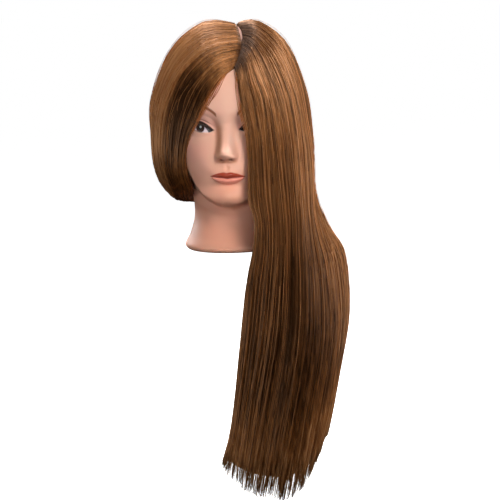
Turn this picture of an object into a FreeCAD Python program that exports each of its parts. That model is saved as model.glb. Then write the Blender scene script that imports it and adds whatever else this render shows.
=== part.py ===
import FreeCAD, Part
import Sketcher
import math
import os

os.makedirs("parts", exist_ok=True)

# Mannequin training head: long implanted hair, vinyl skin, foam core, neck socket.
# Row frame, mm: origin at the mouth of the neck socket, +Z up through the crown,
# the face looks towards -Y, +X is her left side. The lengths hang below the neck base.
doc = FreeCAD.newDocument("mannequin_training_head")
sheet = doc.addObject("Spreadsheet::Sheet", "dims")

SIZES = {
    "skin_wall": 3.5,            # vinyl skin
    "coat_thick": 1.4,           # cured root coat inside the scalp
    "fit_gap": 0.4,              # between neighbouring pieces
    "hair_gap": 0.6,             # between skin and hair
    "face_air": 9.0,             # the curtain hangs this far in front of the face
    "disc_radius": 55.5,         # closing disc in the neck base
    "disc_thick": 5.0,
    "disc_hole_radius": 17.2,
    "socket_bore_radius": 13.5,  # for a table clamp's or tripod's peg
    "socket_depth": 65.0,
    "socket_tube_radius": 17.0,
    "socket_end": 3.0,
    "flange_radius": 30.0,
    "flange_thick": 4.0,
    "eye_spacing": 62.0,
    "eye_height": 151.0,
    "eyeball_radius": 13.0,
    "socket_depth_in_skin": 2.2, # how deep the eye sockets go into the skin
    "lash_radius": 19.0,
    "lash_reach": 5.5,
    "lash_thick": 0.8,
    "lash_gap": 0.3,
    "ear_height": 138.0,
    "ear_half_height": 29.0,
    "ear_half_depth": 16.0,
    "ear_half_width": 5.0,
    "parting_x": 6.0,
    "hair_bottom": 52.0,         # where the sections end around the nape
    "front_split_y": -15.0,
    "back_split_y": 45.0,
    "nape_split_z": 150.0,
    "crown_patch_radius": 34.0,
    "crown_patch_y": 34.0,
    "sway_x": 58.0,              # hinge line of the swinging lengths
    "sway_z": 60.0,
    "sway_radius": 76.0,
    "sway_gap": 0.5,
}
for row, (alias, value) in enumerate(SIZES.items(), start=1):
    sheet.set("A%d" % row, alias)
    sheet.set("B%d" % row, str(value))
    sheet.setAlias("B%d" % row, alias)
doc.recompute()


def size(alias):
    """The sheet's value of one size, in mm."""
    return float(getattr(sheet, alias))


def bind(feature, **formulas):
    """Drive a feature's properties from the sheet."""
    for name, formula in formulas.items():
        feature.setExpression(name.replace("__", "."), formula)
    return feature


# ---------------------------------------------------------------- curves and lofts

def closed_curve(points):
    """A smooth closed wire through the points, with evenly spaced parameters."""
    count = len(points)
    curve = Part.BSplineCurve()
    curve.interpolate(Points=points, PeriodicFlag=True, Parameters=[i / count for i in range(count + 1)])
    return Part.Wire(curve.toShape())


def power(value, exponent):
    """A signed power, for superellipses."""
    return math.copysign(abs(value) ** exponent, value)


def loft_feature(name, wires):
    """A solid lofted through closed wires. No PartDesign loft takes free tilted sections."""
    feature = doc.addObject("Part::Feature", name)
    feature.Shape = Part.makeLoft(wires, True, False)
    return feature


def cut(name, base, tool):
    feature = doc.addObject("Part::Cut", name)
    feature.Base = base
    feature.Tool = tool
    feature.Refine = False
    return feature


def common(name, first, second):
    feature = doc.addObject("Part::Common", name)
    feature.Base = first
    feature.Tool = second
    feature.Refine = False
    return feature


def fuse(name, features):
    """Features joined one after another; the last join carries the name."""
    joined = features[0]
    for number, feature in enumerate(features[1:], start=1):
        last = number == len(features) - 1
        step = doc.addObject("Part::Fuse", name if last else "%s_%d" % (name, number))
        step.Base = joined
        step.Tool = feature
        step.Refine = False
        joined = step
    return joined


def box(name, low, high):
    """A box between two corners, used to divide the hair."""
    feature = doc.addObject("Part::Box", name)
    feature.Length, feature.Width, feature.Height = [high[i] - low[i] for i in range(3)]
    feature.Placement.Base = FreeCAD.Vector(*low)
    return feature


# ---------------------------------------------------------------- the head form

# One line per level: front point's z and y, back point's z and y, half width.
HEAD_LEVELS = [
    (0, -60, 0, 60, 62),
    (6, -63, 6, 63, 65),
    (18, -56, 20, 58.5, 57),
    (33, -49.5, 42, 55, 51),
    (46, -50, 62, 56.5, 50.5),
    (54, -60, 76, 60, 52.5),
    (59, -82, 85, 65, 54.5),
    (67, -90, 94, 70, 57),
    (80, -89.5, 103, 77, 61),
    (97, -92, 113, 82, 65),
    (116, -91, 122, 87, 69),
    (135, -87, 135, 91, 72.5),
    (152, -86, 150, 94.5, 74.5),
    (168, -91, 166, 96, 76.5),
    (190, -88, 186, 95, 76.5),
    (214, -76, 210, 87, 71.5),
    (232, -64, 230, 75, 62),
    (246, -50, 246, 60, 49),
    (255.5, -34, 255.5, 44, 35),
    (260.5, -18, 260.5, 28, 20),
    (262, -5, 262, 13, 8),
]
RING_POINTS = 24
WIDEST = 0.55    # where along the depth a level is widest


def head_ring(level, grow):
    """One level of the head, grown outwards by grow."""
    front_z, front_y, back_z, back_y, half_width = level
    depth = back_y - front_y
    centre_y = front_y + WIDEST * depth
    tilt = (back_z - front_z) / depth
    lift = grow * max(0.0, (front_z - 190) / 72)
    points = []
    for i in range(RING_POINTS):
        angle = 2 * math.pi * i / RING_POINTS
        reach = centre_y - front_y if math.cos(angle) > 0 else back_y - centre_y
        y = centre_y - (reach + grow) * math.cos(angle)
        x = (half_width + grow) * math.sin(angle)
        points.append(FreeCAD.Vector(x, y, front_z + tilt * (y - front_y) + lift))
    return closed_curve(points)


def head_form(name, grow, first=0):
    """The whole head and neck, or the levels from first up, grown outwards by grow."""
    return loft_feature(name, [head_ring(level, grow) for level in HEAD_LEVELS[first:]])


def ellipsoid(name, centre, radii, tilt_deg=0.0):
    """An ellipsoid with half sizes along X, Y and Z, tilted about X."""
    feature = doc.addObject("Part::Ellipsoid", name)
    feature.Radius2, feature.Radius3, feature.Radius1 = radii
    feature.Placement = FreeCAD.Placement(
        FreeCAD.Vector(*centre), FreeCAD.Rotation(FreeCAD.Vector(1, 0, 0), tilt_deg))
    return feature


# Nose: level z, half width, front y.
NOSE_LEVELS = [
    (109.5, 8, -96),
    (113, 12.5, -106),
    (118, 14, -112),
    (124, 11.5, -110.5),
    (134, 8, -103),
    (144, 6.5, -96),
    (154, 6, -90),
]
NOSE_ROOT_Y = -78


def nose_ring(level):
    z, half_width, front_y = level
    points = []
    for i in range(12):
        angle = 2 * math.pi * i / 12
        centre_y = (front_y + NOSE_ROOT_Y) / 2
        y = centre_y - (centre_y - front_y) * math.cos(angle)
        taper = 0.55 + 0.45 * (y - front_y) / (NOSE_ROOT_Y - front_y)
        points.append(FreeCAD.Vector(half_width * math.sin(angle) * (taper + 0.35), y, z))
    return closed_curve(points)


def ear(name, side, grow):
    """One simple ear, grown outwards by grow."""
    feature = ellipsoid(name, (0, 0, 0), (1, 1, 1))
    bind(feature,
         Radius1="dims.ear_half_height + %s" % grow,
         Radius2="dims.ear_half_width + %s" % grow,
         Radius3="dims.ear_half_depth + %s" % grow,
         Placement__Base__z="dims.ear_height")
    feature.Placement.Base = FreeCAD.Vector(side * 75, 10, size("ear_height"))
    return feature


# The lower edge of the jaw seen from the front: x, z. Below it the neck is narrower.
JAW_EDGE = [(-66, 122), (-56, 110), (-49, 96), (-41, 81.5), (-32, 72), (-18, 63.5), (0, 58),
            (18, 63.5), (32, 72), (41, 81.5), (49, 96), (56, 110), (66, 122)]
NECK_HALF_SIZES = (53, 50)
NECK_TOP_Z = 45


def jaw_room(name, inset):
    """The air under the jaw and in front of the neck, reaching inset further inwards."""
    points = [FreeCAD.Vector(x, -160, z + inset) for x, z in JAW_EDGE]
    edge = Part.BSplineCurve()
    edge.interpolate(points)
    low_z = NECK_TOP_Z + 0.5 * inset
    corners = [points[-1], FreeCAD.Vector(66, -160, low_z), FreeCAD.Vector(-66, -160, low_z), points[0]]
    face = Part.Face(Part.Wire([edge.toShape()] + Part.makePolygon(corners).Edges))
    prism = doc.addObject("Part::Feature", name + "_prism")
    prism.Shape = face.extrude(FreeCAD.Vector(0, 160, 0))
    column = Part.makeCylinder(1, 200)
    stretch = FreeCAD.Matrix()
    stretch.scale(NECK_HALF_SIZES[0] - inset, NECK_HALF_SIZES[1] - inset, 1)
    neck = doc.addObject("Part::Feature", name + "_neck")
    neck.Shape = column.transformGeometry(stretch)
    return cut(name, prism, neck)


outer_form = cut("outer_form", head_form("outer_plain", 0.0), jaw_room("jaw_room", 0.0))
nose = loft_feature("nose", [nose_ring(level) for level in NOSE_LEVELS])
half_eyes = size("eye_spacing") / 2
features = [outer_form, nose]
features.append(ellipsoid("upper_lip", (0, -87.5, 99), (19.5, 9, 4.6)))
features.append(ellipsoid("lower_lip", (0, -86.5, 91), (16.5, 10, 5)))
features.append(ellipsoid("chin", (0, -77, 70), (19, 15.5, 13)))
socket_floor = head_form("socket_floor", -size("socket_depth_in_skin"))
sockets = []
eyeballs = []
for side, label in ((-1, "right"), (1, "left")):
    features.append(ear("ear_" + label, side, "0"))
    pocket = ellipsoid("eye_pocket_" + label, (side * half_eyes, -84, 152), (17, 9.5, 9))
    sockets.append(cut("eye_socket_" + label, pocket, socket_floor))
    eyeball = doc.addObject("Part::Sphere", "eyeball_" + label)
    bind(eyeball, Radius="dims.eyeball_radius")
    eyeball.Placement.Base = FreeCAD.Vector(side * half_eyes, -67.5, size("eye_height"))
    eyeballs.append(eyeball)

face_full = fuse("face_full", features)
one_socketed = cut("one_socketed", face_full, sockets[0])
both_socketed = cut("both_socketed", one_socketed, sockets[1])
face_outside = fuse("face_outside", [both_socketed] + eyeballs)


# ---------------------------------------------------------------- skin, coat, core, base

def inner_form(name, grow):
    """The hollow inside the skin: open through the base rim."""
    low = list(HEAD_LEVELS[0])
    low[0] = low[2] = -8
    wires = [head_ring(low, grow)] + [head_ring(level, grow) for level in HEAD_LEVELS]
    return loft_feature(name, wires)


wall = size("skin_wall")
gap = size("fit_gap")
coat = size("coat_thick")
skin_hollow = cut("skin_hollow", inner_form("hollow_plain", -wall), jaw_room("jaw_hollow", wall))
head_skin = cut("head_skin", face_outside, skin_hollow)

# The coat lines the scalp: everything above a plane that rises from nape to forehead.
coat_outside = inner_form("coat_outside", -wall - 0.1)
coat_inside = inner_form("coat_inside", -wall - 0.1 - coat)
coat_shell = cut("coat_shell", coat_outside, coat_inside)
scalp_zone = box("scalp_zone", (-120, -138, 252), (120, 202, 452))
scalp_zone.Placement.Rotation = FreeCAD.Rotation(FreeCAD.Vector(1, 0, 0), -36)
root_lock_coat = common("root_lock_coat", coat_shell, scalp_zone)

# Neck socket: a flanged tube with a blind bore. Its flange rests on the closing disc.
socket_body = doc.addObject("PartDesign::Body", "neck_socket")


def origin_plane(body, role):
    for feature in body.Origin.OriginFeatures:
        if feature.Role == role:
            return feature
    raise ValueError(role)


def sketch_on(body, name, role, offset_z=0.0):
    sketch = body.newObject("Sketcher::SketchObject", name)
    sketch.AttachmentSupport = [(origin_plane(body, role), "")]
    sketch.MapMode = "FlatFace"
    sketch.AttachmentOffset.Base = FreeCAD.Vector(0, 0, offset_z)
    return sketch


def add_circle(sketch, formula, value):
    """A circle about the origin whose radius follows the sheet."""
    index = sketch.addGeometry(Part.Circle(FreeCAD.Vector(0, 0, 0), FreeCAD.Vector(0, 0, 1), value), False)
    sketch.addConstraint(Sketcher.Constraint("Coincident", index, 3, -1, 1))
    mark = sketch.addConstraint(Sketcher.Constraint("Radius", index, value))
    sketch.setExpression("Constraints[%d]" % mark, formula)
    return index


def pad(body, sketch, name, formula):
    feature = body.newObject("PartDesign::Pad", name)
    feature.Profile = sketch
    feature.setExpression("Length", formula)
    return feature


tube_sketch = sketch_on(socket_body, "tube_sketch", "XY_Plane")
add_circle(tube_sketch, "dims.socket_tube_radius", size("socket_tube_radius"))
pad(socket_body, tube_sketch, "tube", "dims.socket_depth + dims.socket_end")
flange_sketch = sketch_on(socket_body, "flange_sketch", "XY_Plane", size("disc_thick") + 0.1)
add_circle(flange_sketch, "dims.flange_radius", size("flange_radius"))
pad(socket_body, flange_sketch, "flange", "dims.flange_thick")
bore_sketch = sketch_on(socket_body, "bore_sketch", "XY_Plane")
add_circle(bore_sketch, "dims.socket_bore_radius", size("socket_bore_radius"))
bore = socket_body.newObject("PartDesign::Pocket", "bore")
bore.Profile = bore_sketch
bore.Reversed = True
bore.setExpression("Length", "dims.socket_depth")
doc.recompute()

# Closing disc: fills the open base inside the vinyl rim.
disc_body = doc.addObject("PartDesign::Body", "base_disc")
disc_sketch = sketch_on(disc_body, "disc_sketch", "XY_Plane")
add_circle(disc_sketch, "dims.disc_radius", size("disc_radius"))
add_circle(disc_sketch, "dims.disc_hole_radius", size("disc_hole_radius"))
pad(disc_body, disc_sketch, "disc", "dims.disc_thick")
doc.recompute()

# Foam core: fills the rest of the hollow, clear of the socket and the disc.
core_inset = wall + coat + 0.5
core_form = cut("core_form", inner_form("core_plain", -core_inset), jaw_room("jaw_core", core_inset))
core_floor = box("core_floor", (-80, -80, -20), (80, 80, size("disc_thick") + size("flange_thick") + 0.6))
tube_room = doc.addObject("Part::Cylinder", "tube_room")
bind(tube_room, Radius="dims.socket_tube_radius + 0.2",
     Height="dims.socket_depth + dims.socket_end + 0.3")
foam_core = cut("foam_core", core_form, fuse("core_rooms", [core_floor, tube_room]))


# ---------------------------------------------------------------- lash strips

def lash_strip(name, side):
    """A crescent strip along one upper lid, trimmed to stand just clear of the lid."""
    body = doc.addObject("PartDesign::Body", name + "_blank")
    sketch = sketch_on(body, name + "_sketch", "XY_Plane")
    radius = size("lash_radius")
    reach = size("lash_reach")
    spread = math.radians(42)
    inner_end = FreeCAD.Vector(radius * math.sin(spread), -radius * math.cos(spread), 0)
    outer_end = FreeCAD.Vector(-inner_end.x, inner_end.y, 0)
    inner_mid = FreeCAD.Vector(0, -radius, 0)
    outer_mid = FreeCAD.Vector(-side * -1.5, -radius - reach, 0)
    sketch.addGeometry(Part.Arc(inner_end, inner_mid, outer_end), False)
    sketch.addGeometry(Part.Arc(outer_end, outer_mid, inner_end), False)
    pad(body, sketch, name + "_pad", "dims.lash_thick")
    body.Placement = FreeCAD.Placement(
        FreeCAD.Vector(side * half_eyes, -65.0, size("eye_height") + 3.2),
        FreeCAD.Rotation(FreeCAD.Vector(0, 0, 1), side * 12) *
        FreeCAD.Rotation(FreeCAD.Vector(0, 1, 0), side * -9) *
        FreeCAD.Rotation(FreeCAD.Vector(1, 0, 0), -10))
    lid_room = doc.addObject("Part::Sphere", name + "_lid_room")
    bind(lid_room, Radius="dims.eyeball_radius + dims.lash_gap")
    lid_room.Placement.Base = FreeCAD.Vector(side * half_eyes, -67.5, size("eye_height"))
    return cut(name, cut(name + "_trimmed", body, lid_room), skin_room)


# Room for the skin, grown outwards by the hair's gap: also what the hair keeps clear of.
skin_room = inner_form("skin_room", size("hair_gap"))
lash_strip("lash_strip_right", -1)
lash_strip("lash_strip_left", 1)


# ---------------------------------------------------------------- implanted hair on the scalp

# Outside of the hair, one line per level: z, half width from the parting, front y, back y.
RIGHT_SIDE_LEVELS = [
    (52, 64, -28, 73),
    (56, 76, -38, 77),
    (67, 89, -54, 84),
    (84, 100, -70, 92),
    (105, 105, -82, 98),
    (130, 109, -90, 104),
    (160, 108.5, -94, 107),
    (185, 105, -95, 106),
    (210, 96, -87, 101),
    (230, 85, -75, 92),
    (247, 71, -62, 80),
    (258, 57, -50, 66),
    (266, 40, -36, 50),
    (270, 24, -20, 34),
    (271, 10, -6, 20),
]
LEFT_SIDE_LEVELS = [
    (52, 86, -107, 76),
    (77, 86, -107, 89),
    (113, 85, -106, 101),
    (139, 84, -103, 105),
    (168, 82, -100, 107),
    (200, 77, -93, 104),
    (221, 70, -83, 97),
    (238, 60, -71, 86),
    (252, 48, -58, 72),
    (263, 34, -40, 54),
    (269, 21, -22, 36),
    (271, 10, -6, 20),
]
HAIR_RING_POINTS = 20


def hair_ring(level):
    """One level of the hair's outside, centred on the parting."""
    z, half_width, front_y, back_y = level
    centre_y = front_y + 0.52 * (back_y - front_y)
    points = []
    for i in range(HAIR_RING_POINTS):
        angle = 2 * math.pi * i / HAIR_RING_POINTS
        reach = centre_y - front_y if math.cos(angle) > 0 else back_y - centre_y
        x = size("parting_x") + half_width * power(math.sin(angle), 0.92)
        y = centre_y - reach * power(math.cos(angle), 0.92)
        points.append(FreeCAD.Vector(x, y, z))
    return closed_curve(points)


right_hull = loft_feature("right_hull", [hair_ring(level) for level in RIGHT_SIDE_LEVELS])
left_hull = loft_feature("left_hull", [hair_ring(level) for level in LEFT_SIDE_LEVELS])

# What the hair keeps clear of: the skin, the ears and the air in front of the face.
ear_rooms = [ear("ear_room_" + label, side, "dims.hair_gap") for side, label in ((-1, "right"), (1, "left"))]
air_form = inner_form("air_form", size("face_air"))
face_room = common("face_room", air_form, box("curtain_air", (0, -150, 40), (64, -46, 190)))
brow_form = inner_form("brow_form", 3 * size("hair_gap"))
brow_room = common("brow_room", brow_form, box("brow_air", (-70, -150, 138), (0, -40, 190)))

# The open face between the swept-back right side and the left curtain: x, z.
OPENING_RIGHT_EDGE = [(-42, 30), (-45, 76), (-51, 100), (-46, 134), (-33, 158), (-20, 184), (-6, 208)]
OPENING_LEFT_EDGE = [(17, 208), (18, 184), (24, 158), (27, 130), (25, 88), (30, 54), (33, 30)]
OPENING_APEX = (7, 220)
OPENING_DEPTH_Y = -35


def face_opening():
    """A prism through the hair in front of the face."""
    outline = OPENING_RIGHT_EDGE + [OPENING_APEX] + OPENING_LEFT_EDGE
    points = [FreeCAD.Vector(x, -200, z) for x, z in outline]
    edge = Part.BSplineCurve()
    edge.interpolate(points)
    bottom = Part.makeLine(points[-1], points[0])
    face = Part.Face(Part.Wire([edge.toShape(), bottom]))
    feature = doc.addObject("Part::Feature", "face_opening")
    feature.Shape = face.extrude(FreeCAD.Vector(0, 200 + OPENING_DEPTH_Y, 0))
    return feature


opening = face_opening()
kept_clear = [skin_room, opening, face_room, brow_room] + ear_rooms
for side, label in ((-1, "right"), (1, "left")):
    eye_room = doc.addObject("Part::Sphere", "eye_room_" + label)
    bind(eye_room, Radius="dims.eyeball_radius + dims.hair_gap")
    eye_room.Placement.Base = FreeCAD.Vector(side * half_eyes, -67.5, size("eye_height"))
    kept_clear.append(eye_room)
    kept_clear.append(ellipsoid("lash_room_" + label, (side * 34, -81.5, 158), (17, 10, 6.5)))
clearance = fuse("clearance", kept_clear)
doc.recompute()

right_shell = cut("right_shell", right_hull, clearance)
left_shell = cut("left_shell", left_hull, clearance)

FAR = 400
part_x = size("parting_x")
front_y = size("front_split_y")
back_y = size("back_split_y")
nape_z = size("nape_split_z")
bottom_z = size("hair_bottom")
half = gap / 2

crown_patch = doc.addObject("Part::Cylinder", "crown_patch")
bind(crown_patch, Radius="dims.crown_patch_radius", Placement__Base__y="dims.crown_patch_y",
     Placement__Base__x="dims.parting_x", Placement__Base__z="180 mm")
crown_patch.Height = 150
crown_room = doc.addObject("Part::Cylinder", "crown_room")
bind(crown_room, Radius="dims.crown_patch_radius + dims.fit_gap", Placement__Base__y="dims.crown_patch_y",
     Placement__Base__x="dims.parting_x", Placement__Base__z="180 mm")
crown_room.Height = 150


def side_zone(name, side, low_y, high_y, low_z, high_z):
    """The box that one implanted section is cut to, on one side of the parting."""
    near_x = part_x + side * half
    far_x = side * FAR
    low = (min(near_x, far_x), low_y, low_z)
    high = (max(near_x, far_x), high_y, high_z)
    return box(name, low, high)


def hair_section(name, side, low_y, high_y, low_z=-FAR, high_z=FAR):
    """One implanted section of the hair, cut out of its side's shell."""
    shell = left_shell if side > 0 else right_shell
    zone = side_zone(name + "_zone", side, low_y, high_y, low_z, high_z)
    whole = common(name + "_whole", shell, zone)
    return cut(name, whole, crown_room)


hair_section("hair_front_right", -1, -FAR, front_y - half)
hair_section("hair_side_right", -1, front_y + half, back_y - half)
hair_section("hair_back_right", -1, back_y + half, FAR, nape_z + half, FAR)
hair_section("hair_nape_right", -1, back_y + half, FAR, -FAR, nape_z - half)
front_left_top = hair_section("front_left_top", 1, -FAR, front_y - half)
hair_section("hair_side_left", 1, front_y + half, back_y - half)
hair_section("hair_back_left", 1, back_y + half, FAR, nape_z + half, FAR)
hair_section("hair_nape_left", 1, back_y + half, FAR, -FAR, nape_z - half)

crown_halves = []
for side, shell in ((-1, right_shell), (1, left_shell)):
    zone = box("crown_zone_%d" % (side + 1), (min(part_x, side * FAR), -FAR, nape_z),
               (max(part_x, side * FAR), FAR, FAR))
    crown_halves.append(common("crown_half_%d" % (side + 1), shell, zone))
common("hair_crown", fuse("crown_whole", crown_halves), crown_patch)


# ---------------------------------------------------------------- the lengths below the jaw

# One line per level: z, left x, right x, front y, back y. Neighbouring layers overlap
# here, and the layer zones below part them.
FRONT_LENGTHS = [
    (112, 33, 54, -92, -60),
    (84, 31, 62, -98, -56),
    (52, 29, 78, -104, -50),
    (30, 31, 88, -107, -50),
    (6, 26, 93, -107, -50),
    (-22, 17, 94, -106, -50),
    (-60, 12, 91, -103, -48),
    (-110, 4, 87, -99, -44),
    (-160, -4, 80, -94, -40),
    (-205, -14, 69, -90, -40),
    (-242, -23, 54, -86, -42),
    (-270, -12, 40, -82, -44),
    (-288, 4, 26, -78, -48),
]
SIDE_LENGTHS = [
    (51.6, 67, 93, -90, 4),
    (30, 67, 99, -90, 4),
    (6, 67, 109, -90, 4),
    (-10, 67, 113, -90, 4),
    (-32, 40, 116, -88, 2),
    (-70, 28, 117, -84, 0),
    (-120, 18, 113, -78, -6),
    (-170, 8, 104, -74, -12),
    (-215, 0, 92, -72, -18),
    (-255, 4, 76, -70, -24),
    (-284, 18, 63, -66, -30),
    (-299, 34, 52, -60, -38),
]
BACK_LENGTHS = [
    (51.6, 68, 93, -40, 72),
    (26, 68, 102, -40, 70),
    (8, 68, 117, -40, 64),
    (-8, 67.5, 126, -40, 60),
    (-32, 48, 130, -42, 54),
    (-72, 40, 130, -44, 46),
    (-113, 34, 124, -46, 35),
    (-150, 30, 117, -48, 22),
    (-190, 30, 106, -50, 8),
    (-225, 36, 94, -48, -4),
    (-252, 50, 80, -44, -16),
]
LAYER_TOP_Z = 200
LAYER_BOTTOM_Z = -320
FRONT_TO_SIDE = (-73, -57)    # y of the split at the top and at the bottom
SIDE_TO_BACK = (-12, -34)


LOCK_ROUNDNESS = 0.7    # 1 is an ellipse, 0 a rectangle


def rounded_ring(low_a, high_a, low_b, high_b, place):
    """A superellipse between two pairs of limits; place(a, b) gives the point."""
    points = []
    for i in range(16):
        angle = 2 * math.pi * i / 16
        a = (low_a + high_a) / 2 + (high_a - low_a) / 2 * power(math.cos(angle), LOCK_ROUNDNESS)
        b = (low_b + high_b) / 2 + (high_b - low_b) / 2 * power(math.sin(angle), LOCK_ROUNDNESS)
        points.append(place(a, b))
    return closed_curve(points)


def lengths_form(name, levels):
    wires = []
    for z, left_x, right_x, front, back in levels:
        wires.append(rounded_ring(left_x, right_x, front, back,
                                  lambda a, b, z=z: FreeCAD.Vector(a, b, z)))
    return loft_feature(name, wires)


def layer_zone(name, front_split, back_split):
    """Everything between two slanted planes, each given by its y at the top and the bottom."""
    points = [
        FreeCAD.Vector(-FAR, front_split[0] + half, LAYER_TOP_Z),
        FreeCAD.Vector(-FAR, back_split[0] - half, LAYER_TOP_Z),
        FreeCAD.Vector(-FAR, back_split[1] - half, LAYER_BOTTOM_Z),
        FreeCAD.Vector(-FAR, front_split[1] + half, LAYER_BOTTOM_Z),
    ]
    face = Part.Face(Part.makePolygon(points + points[:1]))
    feature = doc.addObject("Part::Feature", name)
    feature.Shape = face.extrude(FreeCAD.Vector(2 * FAR, 0, 0))
    return feature


def sway_drum(name, extra):
    """The drum about the hinge line that divides held hair from swinging hair."""
    drum = doc.addObject("Part::Cylinder", name)
    bind(drum, Radius="dims.sway_radius + %s" % extra)
    drum.Height = 400
    drum.Placement = FreeCAD.Placement(
        FreeCAD.Vector(size("sway_x"), 200, size("sway_z")), FreeCAD.Rotation(FreeCAD.Vector(1, 0, 0), 90))
    bind(drum, Placement__Base__x="dims.sway_x", Placement__Base__z="dims.sway_z")
    return drum


held_drum = sway_drum("held_drum", "0")
swing_drum = sway_drum("swing_drum", "dims.sway_gap")

layers = (
    ("front", FRONT_LENGTHS, (-FAR, -FAR), FRONT_TO_SIDE),
    ("side", SIDE_LENGTHS, FRONT_TO_SIDE, SIDE_TO_BACK),
    ("back", BACK_LENGTHS, SIDE_TO_BACK, (FAR, FAR)),
)
forms = {}
for label, levels, front_split, back_split in layers:
    lock = lengths_form(label + "_lock", levels)
    zone = layer_zone(label + "_zone", front_split, back_split)
    forms[label] = common(label + "_form", lock, zone)
below_jaw = box("below_jaw", (-FAR, -FAR, LAYER_BOTTOM_Z), (FAR, FAR, size("sway_z")))
for label, form in forms.items():
    swinging = common(label + "_below_jaw", form, below_jaw)
    cut("lengths_" + label, swinging, swing_drum)

above_drum = box("above_drum", (-FAR, -FAR, size("sway_z") - 10), (FAR, FAR, LAYER_TOP_Z))
held_zone = fuse("held_zone", [held_drum, above_drum])
held_front = common("held_front", forms["front"], held_zone)
held_front_clear = cut("held_front_clear", held_front, fuse("front_rooms", [skin_room, face_room, brow_room]))
fuse("hair_front_left", [front_left_top, held_front_clear])
common("sweep_side_left", forms["side"], held_drum)
common("sweep_back_left", forms["back"], held_drum)

# The nape sweep carries the right and back hair behind the neck to her left side.
# One line per station: x, low z, high z, inner y, outer y.
NAPE_STATIONS = [
    (-50, 44, 51.6, 38, 64),
    (-20, 33, 51.6, 61, 78),
    (20, 17, 51.6, 65, 80),
    (46, 5, 51.6, 58, 78),
    (66, -5.5, 51.6, 34, 70),
]


def nape_form():
    wires = []
    for x, low_z, high_z, inner_y, outer_y in NAPE_STATIONS:
        wires.append(rounded_ring(inner_y, outer_y, low_z, high_z,
                                  lambda a, b, x=x: FreeCAD.Vector(x, a, b)))
    feature = doc.addObject("Part::Feature", "nape_form")
    feature.Shape = Part.makeLoft(wires, True, True)
    return feature


cut("sweep_nape", nape_form(), skin_room)
doc.recompute()

# ---------------------------------------------------------------- check and write

NODES = [
    "head_skin", "foam_core", "root_lock_coat", "neck_socket", "base_disc",
    "lash_strip_right", "lash_strip_left",
    "hair_front_right", "hair_side_right", "hair_back_right", "hair_nape_right", "hair_crown",
    "hair_front_left", "hair_side_left", "hair_back_left", "hair_nape_left",
    "sweep_side_left", "sweep_back_left", "sweep_nape",
    "lengths_front", "lengths_side", "lengths_back",
]
for item in doc.Objects:
    if "Invalid" in item.State or "Error" in item.State:
        print(item.Name, item.State, item.getStatusString() if hasattr(item, "getStatusString") else "")
        failed = True
for node in NODES:
    piece = doc.getObject(node)
    piece.Label = node
    shape = piece.Shape
    if shape.isNull() or not shape.isValid():
        raise RuntimeError("bad shape: " + node)
    limits = shape.BoundBox
    print("%-18s solids %d volume %9.0f  x %6.1f..%6.1f y %6.1f..%6.1f z %6.1f..%6.1f" % (
        node, len(shape.Solids), shape.Volume, limits.XMin, limits.XMax,
        limits.YMin, limits.YMax, limits.ZMin, limits.ZMax))
    shape.exportStep("parts/" + node + ".step")
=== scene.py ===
import math

import bpy
import numpy as np
from mathutils import Matrix, Vector
from mathutils.bvhtree import BVHTree


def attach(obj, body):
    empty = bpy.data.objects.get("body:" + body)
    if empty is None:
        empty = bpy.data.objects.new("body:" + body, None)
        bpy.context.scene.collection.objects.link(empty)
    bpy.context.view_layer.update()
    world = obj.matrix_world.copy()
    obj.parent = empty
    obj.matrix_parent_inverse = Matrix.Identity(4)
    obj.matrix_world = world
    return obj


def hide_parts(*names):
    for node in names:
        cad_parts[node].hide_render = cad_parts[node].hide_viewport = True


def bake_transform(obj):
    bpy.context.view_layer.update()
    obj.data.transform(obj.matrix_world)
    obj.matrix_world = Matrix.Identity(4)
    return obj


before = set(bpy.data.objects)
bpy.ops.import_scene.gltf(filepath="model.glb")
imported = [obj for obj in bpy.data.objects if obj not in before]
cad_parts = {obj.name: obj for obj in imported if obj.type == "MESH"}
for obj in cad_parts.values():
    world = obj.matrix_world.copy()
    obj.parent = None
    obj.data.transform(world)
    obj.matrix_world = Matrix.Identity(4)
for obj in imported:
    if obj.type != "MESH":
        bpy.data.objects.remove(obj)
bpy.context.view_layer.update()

MM = 0.001
rng = np.random.default_rng(11)


# ---------------------------------------------------------------- small tools

def smoothstep(low, high, value):
    """0 below low, 1 above high, smooth between."""
    t = np.clip((np.asarray(value, float) - low) / (high - low), 0, 1)
    return t * t * (3 - 2 * t)


def bump(x, z, centre, spread):
    """A soft round bump of height 1."""
    return np.exp(-((x - centre[0]) / spread[0]) ** 2 - ((z - centre[1]) / spread[1]) ** 2)


def spline_weights(t, count):
    """Catmull-Rom indices and weights at the positions t along count control values."""
    t = np.asarray(t, float)
    i = np.clip(np.floor(t).astype(int), 0, count - 2)
    f = t - i
    index = np.stack([np.clip(i + k, 0, count - 1) for k in (-1, 0, 1, 2)], -1)
    weight = np.stack([
        -0.5 * f + f ** 2 - 0.5 * f ** 3,
        1 - 2.5 * f ** 2 + 1.5 * f ** 3,
        0.5 * f + 2 * f ** 2 - 1.5 * f ** 3,
        -0.5 * f ** 2 + 0.5 * f ** 3], -1)
    return index, weight


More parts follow.
